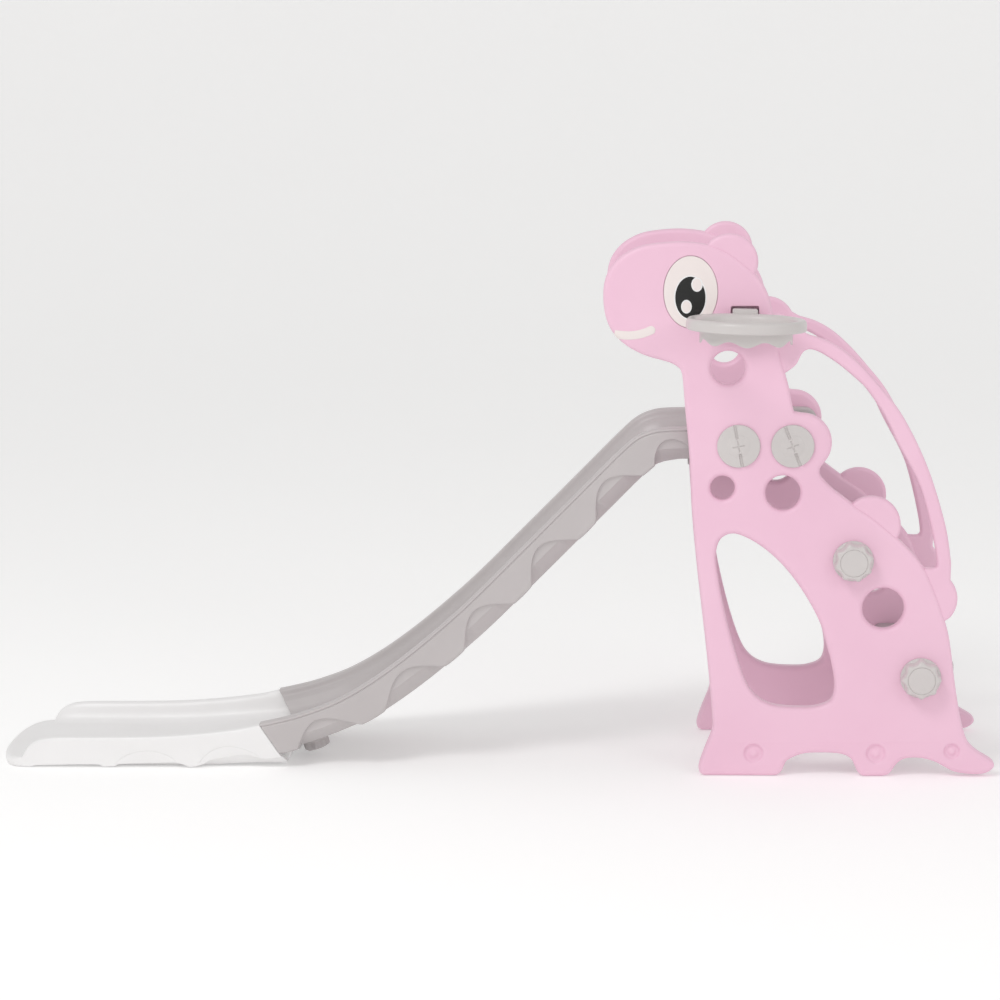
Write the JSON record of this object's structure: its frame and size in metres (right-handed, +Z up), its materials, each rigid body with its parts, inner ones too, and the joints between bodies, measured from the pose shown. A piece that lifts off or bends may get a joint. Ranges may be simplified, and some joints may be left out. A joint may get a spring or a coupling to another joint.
{
  "type": "toddler slide",
  "caption": "Free-standing toddler slide: two animal-shaped side panels carry treads, a platform, a two-part chute and a ball hoop.",
  "frame": {"origin": "on the floor, under the middle of the whole slide's box", "axes": "+Z up, the chute runs down towards -X, the treads are at +X, the ball hoop hangs on the -Y side"},
  "size_m": [1.8066, 0.643, 0.968],
  "materials": {
    "pink_plastic": "satin blow-moulded polyethylene",
    "grey_plastic": "satin blow-moulded polyethylene",
    "pale_grey_plastic": "satin injection-moulded plastic",
    "white_plastic": "satin blow-moulded polyethylene",
    "cream_plastic": "smooth inset",
    "black_plastic": "smooth inset"
  },
  "bodies": {
    "root": {"side_panel_left": "pink_plastic", "side_panel_right": "pink_plastic", "eye_left": "cream_plastic", "eye_right": "cream_plastic", "pupil_left": "black_plastic", "pupil_right": "black_plastic", "mouth_left": "cream_plastic", "mouth_right": "cream_plastic", "upper_tread": "grey_plastic", "lower_tread": "grey_plastic", "platform": "grey_plastic", "upper_chute": "grey_plastic", "lower_chute": "white_plastic"},
    "upper_tread_nut_left": {"upper_tread_nut_left": "pale_grey_plastic"},
    "upper_tread_nut_right": {"upper_tread_nut_right": "pale_grey_plastic"},
    "lower_tread_nut_left": {"lower_tread_nut_left": "pale_grey_plastic"},
    "lower_tread_nut_right": {"lower_tread_nut_right": "pale_grey_plastic"},
    "platform_screw_front_left": {"platform_screw_front_left": "pale_grey_plastic"},
    "platform_screw_front_right": {"platform_screw_front_right": "pale_grey_plastic"},
    "platform_screw_rear_left": {"platform_screw_rear_left": "pale_grey_plastic"},
    "platform_screw_rear_right": {"platform_screw_rear_right": "pale_grey_plastic"},
    "chute_knob_left": {"chute_knob_left": "grey_plastic"},
    "chute_knob_right": {"chute_knob_right": "grey_plastic"},
    "hoop": {"hoop": "pale_grey_plastic"}
  },
  "joints": [
    {"name": "upper_tread_nut_left_turn", "type": "hinge", "parent": "root", "child": "upper_tread_nut_left", "pos_m": [0.64935, -0.1085, 0.3905], "axis": [0, -1, 0], "continuous": true},
    {"name": "upper_tread_nut_right_turn", "type": "hinge", "parent": "root", "child": "upper_tread_nut_right", "pos_m": [0.64935, 0.2915, 0.3905], "axis": [0, 1, 0], "continuous": true},
    {"name": "lower_tread_nut_left_turn", "type": "hinge", "parent": "root", "child": "lower_tread_nut_left", "pos_m": [0.77035, -0.1085, 0.18], "axis": [0, -1, 0], "continuous": true},
    {"name": "lower_tread_nut_right_turn", "type": "hinge", "parent": "root", "child": "lower_tread_nut_right", "pos_m": [0.77035, 0.2915, 0.18], "axis": [0, 1, 0], "continuous": true},
    {"name": "platform_screw_front_left_turn", "type": "hinge", "parent": "root", "child": "platform_screw_front_left", "pos_m": [0.44635, -0.1085, 0.595], "axis": [0, -1, 0], "continuous": true},
    {"name": "platform_screw_front_right_turn", "type": "hinge", "parent": "root", "child": "platform_screw_front_right", "pos_m": [0.44635, 0.2915, 0.595], "axis": [0, 1, 0], "continuous": true},
    {"name": "platform_screw_rear_left_turn", "type": "hinge", "parent": "root", "child": "platform_screw_rear_left", "pos_m": [0.54135, -0.1085, 0.595], "axis": [0, -1, 0], "continuous": true},
    {"name": "platform_screw_rear_right_turn", "type": "hinge", "parent": "root", "child": "platform_screw_rear_right", "pos_m": [0.54135, 0.2915, 0.595], "axis": [0, 1, 0], "continuous": true},
    {"name": "chute_knob_left_turn", "type": "hinge", "parent": "root", "child": "chute_knob_left", "pos_m": [-0.32896, 0.0365, 0.03443], "axis": [-0.3037, 0, 0.9528], "continuous": true},
    {"name": "chute_knob_right_turn", "type": "hinge", "parent": "root", "child": "chute_knob_right", "pos_m": [-0.32896, 0.1465, 0.03443], "axis": [-0.3037, 0, 0.9528], "continuous": true},
    {"name": "hoop_pull_off", "type": "slide", "parent": "root", "child": "hoop", "axis": [0, -1, 0], "range_m": [0, 0.06]}
  ]
}
